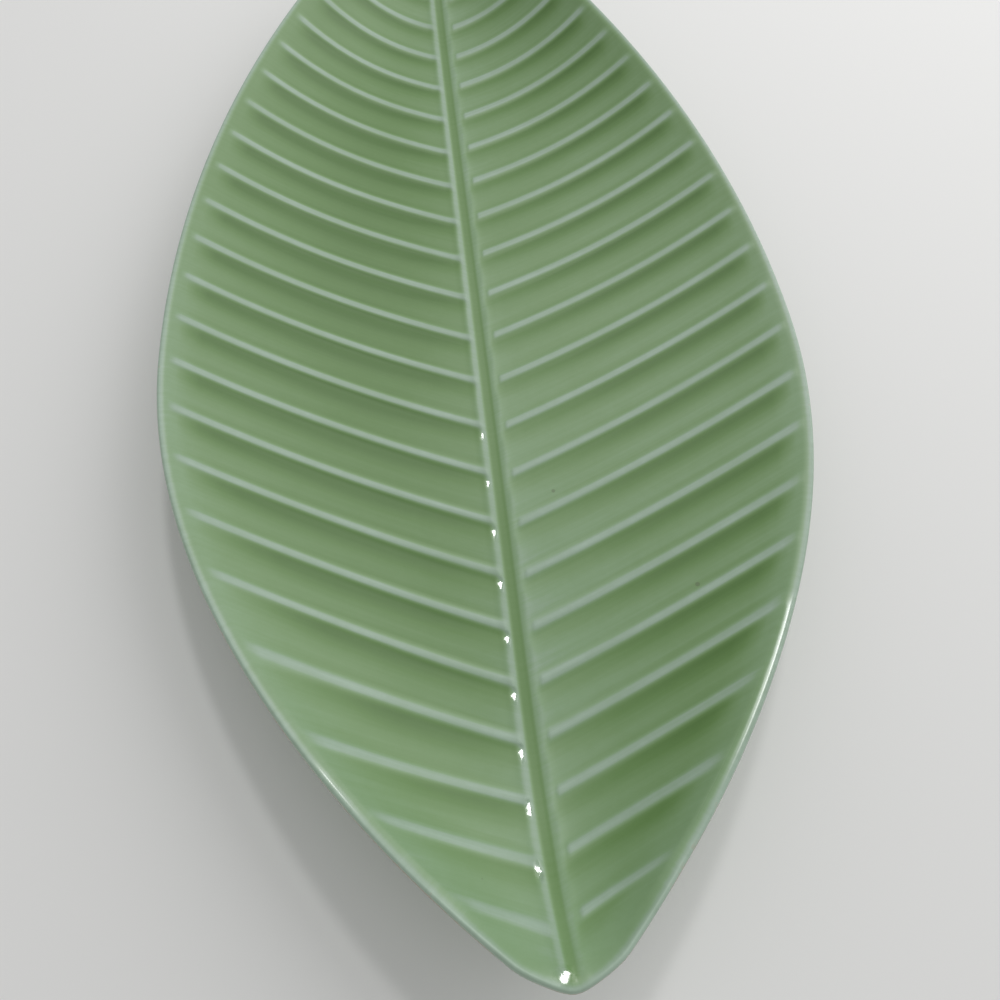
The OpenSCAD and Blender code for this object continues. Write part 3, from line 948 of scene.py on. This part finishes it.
in_half = FOOT_HALF - FOOT_WIDE
in_base = FOOT_BASE - 2 * FOOT_WIDE
in_apex = FOOT_APEX - 2 * FOOT_WIDE
in_x, in_y = leaf_ring(in_half, in_base, in_apex, loop_ways, loop_side)
middle_rows = []
for share in MIDDLE_SHARES:
    x = in_x * (1 - share)
    y = WIDEST_Y + (in_y - WIDEST_Y) * (1 - share)
    middle_rows.append(np.column_stack([x, y, under_height(x, y)]))
middle_places = np.array(middle_rows)
middle_depth = np.full(middle_places.shape[:2], BACK_DEPTH)
middle_depth[: len(INNER_DEPTHS)] = np.array(INNER_DEPTHS)[:, None]
middle = back_sheet("glazed_middle", middle_places, middle_depth)
only(back)
middle.select_set(True)
bpy.ops.object.join()
close_doubles(back)
print("back:", len(back.data.vertices), "points,", len(back.data.polygons), "faces")

# %% [markdown]
# Under the glaze lies the pressed clay. Its shape is that of both sheets, so it is made from copies of
# them: joined, sewn together at the edge, bridged under the foot, and drawn in by the glaze's depth.
# Only then do the two sheets get their own thickness.

# %% Pressed body
def copy_of(thing, name):
    """A copy with its own mesh."""
    double = thing.copy()
    double.data = thing.data.copy()
    double.name = name
    double.data.name = name
    bpy.context.scene.collection.objects.link(double)
    return double


pressed = copy_of(face, "pressed_body")
lower = copy_of(back, "pressed_underside")
only(pressed)
lower.select_set(True)
bpy.ops.object.join()
close_doubles(pressed)
bpy.ops.object.mode_set(mode="EDIT")
bpy.ops.mesh.select_all(action="DESELECT")
bpy.ops.mesh.select_mode(type="EDGE")
bpy.ops.mesh.select_non_manifold(use_non_contiguous=False, use_multi_face=False)
bpy.ops.mesh.bridge_edge_loops()
bpy.ops.mesh.select_all(action="SELECT")
bpy.ops.mesh.normals_make_consistent(inside=False)
bpy.ops.transform.shrink_fatten(value=-GLAZE_SKIN * MM)
bpy.ops.mesh.select_mode(type="VERT")
bpy.ops.object.mode_set(mode="OBJECT")
print("open edges on the pressed body:", open_edges(pressed))
soften(pressed, GLAZE_SMOOTH_DEG)
for sheet in (face, back):
    thicken(sheet, GLAZE_SKIN)
    soften(sheet, GLAZE_SMOOTH_DEG)
print("pressed body:", len(pressed.data.polygons), "faces")

# %% [markdown]
# The foot ring is bare stoneware, ground flat. It starts as a circle that is drawn out to the foot's
# leaf shape. Its edge is extruded up to the underside, in, and down again, the ground face is
# bridged, and the corners are rounded with a bevel.

# %% Foot ring
FOOT_POINTS = 200
FOOT_ROUND = 0.5
FOOT_ROUND_STEPS = 3
FOOT_ROUND_FROM_DEG = 60
FOOT_SMOOTH_DEG = 40

bpy.ops.object.select_all(action="DESELECT")
bpy.ops.mesh.primitive_circle_add(vertices=FOOT_POINTS, radius=1, location=(0, 0, 0))
foot = bpy.context.active_object
foot.name = "ground_foot_ring"
foot.data.name = foot.name
angles = np.array([math.atan2(v.co.y, v.co.x) for v in foot.data.vertices])
ways = np.sin(angles)
side_of = np.where(np.cos(angles) >= 0, 1, -1)


def foot_loop(drawn_in, height):
    """Places of one of the ring's edges, drawn in from its outer wall."""
    half = FOOT_HALF - drawn_in
    base = FOOT_BASE - 2 * drawn_in
    apex = FOOT_APEX - 2 * drawn_in
    x, y = leaf_ring(half, base, apex, ways, side_of)
    z = under_height(x, y) + BACK_GLAZE if height == "top" else np.zeros_like(x)
    return np.column_stack([x, y, z])


foot.data.vertices.foreach_set("co", (foot_loop(0, "ground") * MM).ravel())
for drawn_in, height in ((0, "top"), (FOOT_WIDE, "top"), (FOOT_WIDE, "ground")):
    only(foot)
    bpy.ops.object.mode_set(mode="EDIT")
    bpy.ops.mesh.extrude_region_move()
    bpy.ops.object.mode_set(mode="OBJECT")
    places = foot_loop(drawn_in, height) * MM
    picked = [v for v in foot.data.vertices if v.select]
    first = picked[0].index
    for v in picked:
        v.co = places[v.index - first]
bpy.ops.object.mode_set(mode="EDIT")
bpy.ops.mesh.select_all(action="DESELECT")
bpy.ops.mesh.select_mode(type="EDGE")
bpy.ops.mesh.select_non_manifold()
bpy.ops.mesh.bridge_edge_loops()
bpy.ops.mesh.select_all(action="SELECT")
bpy.ops.mesh.normals_make_consistent(inside=False)
bpy.ops.mesh.select_mode(type="VERT")
bpy.ops.object.mode_set(mode="OBJECT")
rounding = foot.modifiers.new("rounding", "BEVEL")
rounding.width = FOOT_ROUND * MM
rounding.segments = FOOT_ROUND_STEPS
rounding.limit_method = "ANGLE"
rounding.angle_limit = math.radians(FOOT_ROUND_FROM_DEG)
bpy.ops.object.modifier_apply(modifier=rounding.name)
soften(foot, FOOT_SMOOTH_DEG)
print("foot ring:", len(foot.data.polygons), "faces")

# %% [markdown]
# The glaze's colour follows its depth. A ramp runs from the bare tint of the clay at the very edge,
# through the pale milky green of a thin coat, to the green of the panels and the dark green of the
# pools. Real celadon isn't even, so soft clouds and faint streaks along the veins shift the depth a
# little. A few pinholes sit in it, two of them where the photograph shows them. The roughness follows
# the gloss that is drawn on the sheet, and a faint ripple keeps the bright spots from being perfect.

# %% Glaze material
def tint(red, green, blue):
    """An 8-bit screen colour as the linear colour that a shader takes."""
    values = []
    for part in (red, green, blue):
        share = part / 255
        values.append(share / 12.92 if share <= 0.04045 else ((share + 0.055) / 1.055) ** 2.4)
    return (*values, 1)


GLAZE_RAMP = (
    (0.00, tint(170, 158, 138)),
    (0.06, tint(160, 182, 164)),
    (0.12, tint(150, 172, 152)),
    (0.26, tint(131, 160, 122)),
    (0.44, tint(116, 147, 99)),
    (0.68, tint(99, 133, 76)),
    (1.00, tint(79, 114, 54)),
)

# Two pits in the face that show in the photograph: place and radius in mm
PITS = (((44.8, -101.6, 15.9), 0.6), ((14.3, -69.7, 9.2), 0.5))
PIT_TINT = tint(92, 100, 76)
PIT_COVER = 0.5
PINHOLES_PER_M = 130
PINHOLE_EDGE = 0.035
PINHOLE_PLACES = (61, 0.60, 0.64)
# How the noise runs along the veins, and how far streaks, clouds and mottle shift the depth
STREAK_ACROSS = 0.02
STREAK_ALONG = 0.55
STREAKS = (1.6, 4.0, 0.6)
CLOUDS = (42, 3.0, 0.55)
MOTTLE = (420, 4.0, 0.65)
SHIFTS = (0.16, 0.14, 0.07)
SATIN_ROUGHNESS = 0.48
GLOSS_SMOOTHS = 0.36
GLAZE_IOR = 1.5
RIPPLE = (95, 2.0, 0.5)
RIPPLE_STRENGTH = 0.10
RIPPLE_MM = 0.4
WHITE = (1, 1, 1, 1)
BLACK = (0, 0, 0, 1)


def add_node(tree, kind, **settings):
    """A shader node with its settings."""
    node = tree.nodes.new(kind)
    for name, value in settings.items():
        setattr(node, name, value)
    return node


def math_node(tree, operation, first, second):
    """A calculation with two values, each a number or another node's output."""
    node = add_node(tree, "ShaderNodeMath", operation=operation)
    for socket, value in zip(node.inputs, (first, second)):
        if isinstance(value, (int, float)):
            socket.default_value = value
        else:
            tree.links.new(value, socket)
    return node.outputs[0]


def noise(tree, vector, scale, detail, rough):
    """Noise of a scale, detail and roughness."""
    node = add_node(tree, "ShaderNodeTexNoise")
    node.inputs["Scale"].default_value = scale
    node.inputs["Detail"].default_value = detail
    node.inputs["Roughness"].default_value = rough
    tree.links.new(vector, node.inputs["Vector"])
    return node.outputs["Fac"]


def ramp(tree, value, stops):
    """A colour that runs through the stops as the value grows."""
    node = add_node(tree, "ShaderNodeValToRGB")
    elements = node.color_ramp.elements
    while len(elements) < len(stops):
        elements.new(0.5)
    for element, (place, colour) in zip(elements, stops):
        element.position = place
        element.color = colour
    tree.links.new(value, node.inputs["Fac"])
    return node.outputs["Color"]


def shifted_depth(tree, place):
    """The depth of the glaze on the sheet, shifted by streaks, clouds and mottle."""
    shifted = add_node(tree, "ShaderNodeAttribute", attribute_name="glaze_depth").outputs["Fac"]
    along = add_node(tree, "ShaderNodeAttribute", attribute_name="vein_place").outputs["Fac"]
    across = add_node(tree, "ShaderNodeAttribute", attribute_name="across_place").outputs["Fac"]
    run = add_node(tree, "ShaderNodeCombineXYZ")
    tree.links.new(math_node(tree, "MULTIPLY", across, STREAK_ACROSS), run.inputs["X"])
    tree.links.new(math_node(tree, "MULTIPLY", along, STREAK_ALONG), run.inputs["Y"])
    patterns = (
        noise(tree, run.outputs[0], *STREAKS),
        noise(tree, place, *CLOUDS),
        noise(tree, place, *MOTTLE),
    )
    for pattern, amount in zip(patterns, SHIFTS):
        shift = math_node(tree, "MULTIPLY", math_node(tree, "SUBTRACT", pattern, 0.5), amount)
        shifted = math_node(tree, "ADD", shifted, shift)
    return shifted


def pinholes(tree, place):
    """1 inside a pinhole or a pit, and 0 elsewhere."""
    cells = add_node(tree, "ShaderNodeTexVoronoi")
    cells.inputs["Scale"].default_value = PINHOLES_PER_M
    tree.links.new(place, cells.inputs["Vector"])
    hole = ramp(tree, cells.outputs["Distance"], ((0.0, WHITE), (PINHOLE_EDGE, BLACK)))
    scale, low, high = PINHOLE_PLACES
    rare = ramp(tree, noise(tree, place, scale, 1.0, 0.5), ((low, BLACK), (high, WHITE)))
    dots = math_node(tree, "MULTIPLY", hole, rare)
    for centre, size in PITS:
        reach = add_node(tree, "ShaderNodeVectorMath", operation="DISTANCE")
        tree.links.new(place, reach.inputs[0])
        reach.inputs[1].default_value = [c * MM for c in centre]
        pit = math_node(tree, "LESS_THAN", reach.outputs["Value"], size * MM)
        dots = math_node(tree, "MAXIMUM", dots, pit)
    return dots


def make_celadon(name):
    """Celadon: its colour from the depth, its roughness from the gloss, and a faint ripple."""
    finish = bpy.data.materials.new(name)
    finish.use_nodes = True
    tree = finish.node_tree
    shader = tree.nodes["Principled BSDF"]
    place = add_node(tree, "ShaderNodeTexCoord").outputs["Object"]
    colour = ramp(tree, shifted_depth(tree, place), GLAZE_RAMP)
    dots = pinholes(tree, place)
    mix = add_node(tree, "ShaderNodeMix", data_type="RGBA")
    tree.links.new(math_node(tree, "MULTIPLY", dots, PIT_COVER), mix.inputs[0])
    tree.links.new(colour, mix.inputs[6])
    mix.inputs[7].default_value = PIT_TINT
    tree.links.new(mix.outputs[2], shader.inputs["Base Color"])
    shine = add_node(tree, "ShaderNodeAttribute", attribute_name="glaze_gloss").outputs["Fac"]
    smoother = math_node(tree, "MULTIPLY", shine, GLOSS_SMOOTHS)
    rough = math_node(tree, "SUBTRACT", SATIN_ROUGHNESS, smoother)
    tree.links.new(rough, shader.inputs["Roughness"])
    shader.inputs["IOR"].default_value = GLAZE_IOR
    bump = add_node(tree, "ShaderNodeBump")
    bump.inputs["Strength"].default_value = RIPPLE_STRENGTH
    bump.inputs["Distance"].default_value = RIPPLE_MM * MM
    sunk = math_node(tree, "MULTIPLY", dots, 0.5)
    height = math_node(tree, "SUBTRACT", noise(tree, place, *RIPPLE), sunk)
    tree.links.new(height, bump.inputs["Height"])
    tree.links.new(bump.outputs["Normal"], shader.inputs["Normal"])
    return finish


celadon = make_celadon("celadon_glaze")
celadon_back = make_celadon("celadon_glaze_back")
for thing, finish in ((face, celadon), (back, celadon_back)):
    thing.data.materials.clear()
    thing.data.materials.append(finish)
print("glaze ramp:", len(GLAZE_RAMP), "stops")

# %% [markdown]
# Where the glaze is wiped away the stoneware shows: warm buff and slightly rough, with fine dark grog
# and broader patches, so two sizes of noise are added up. The body under the glaze is the same clay.

# %% Stoneware material
CLAY_ROUGHNESS = 0.85
GRAIN = (900, 5.0, 0.7)
PATCHES = (60, 3.0, 0.5)
GRAIN_SHARE = 0.7
PATCH_SHARE = 0.3
GRAIN_STRENGTH = 0.5
GRAIN_MM = 0.3
CLAY_LIGHT = tint(214, 200, 178)
# Places of the grog, the clay and its light grains on the ramp
CLAY_STOPS = (0.34, 0.47, 0.62)


def make_stoneware(name, base, grog):
    """Bare stoneware of a base colour, with grog in it."""
    finish = bpy.data.materials.new(name)
    finish.use_nodes = True
    tree = finish.node_tree
    shader = tree.nodes["Principled BSDF"]
    place = add_node(tree, "ShaderNodeTexCoord").outputs["Object"]
    grain = noise(tree, place, *GRAIN)
    fine = math_node(tree, "MULTIPLY", grain, GRAIN_SHARE)
    broad = math_node(tree, "MULTIPLY", noise(tree, place, *PATCHES), PATCH_SHARE)
    stops = zip(CLAY_STOPS, (grog, base, CLAY_LIGHT))
    colour = ramp(tree, math_node(tree, "ADD", fine, broad), tuple(stops))
    tree.links.new(colour, shader.inputs["Base Color"])
    shader.inputs["Roughness"].default_value = CLAY_ROUGHNESS
    bump = add_node(tree, "ShaderNodeBump")
    bump.inputs["Strength"].default_value = GRAIN_STRENGTH
    bump.inputs["Distance"].default_value = GRAIN_MM * MM
    tree.links.new(grain, bump.inputs["Height"])
    tree.links.new(bump.outputs["Normal"], shader.inputs["Normal"])
    return finish


stoneware = make_stoneware("bare_stoneware", tint(196, 178, 152), tint(132, 110, 88))
body_clay = make_stoneware("body_clay", tint(200, 186, 162), tint(150, 130, 106))
for thing, finish in ((foot, stoneware), (pressed, body_clay)):
    thing.data.materials.clear()
    thing.data.materials.append(finish)
print("stoneware on the foot ring and the body")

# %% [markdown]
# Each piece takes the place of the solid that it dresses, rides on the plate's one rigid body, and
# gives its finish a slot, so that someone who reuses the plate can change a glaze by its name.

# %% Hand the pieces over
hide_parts("face_glaze")
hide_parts("back_glaze")
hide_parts("foot_ring")
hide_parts("clay_body")
for thing in (face, back, foot, pressed):
    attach(thing, "root")
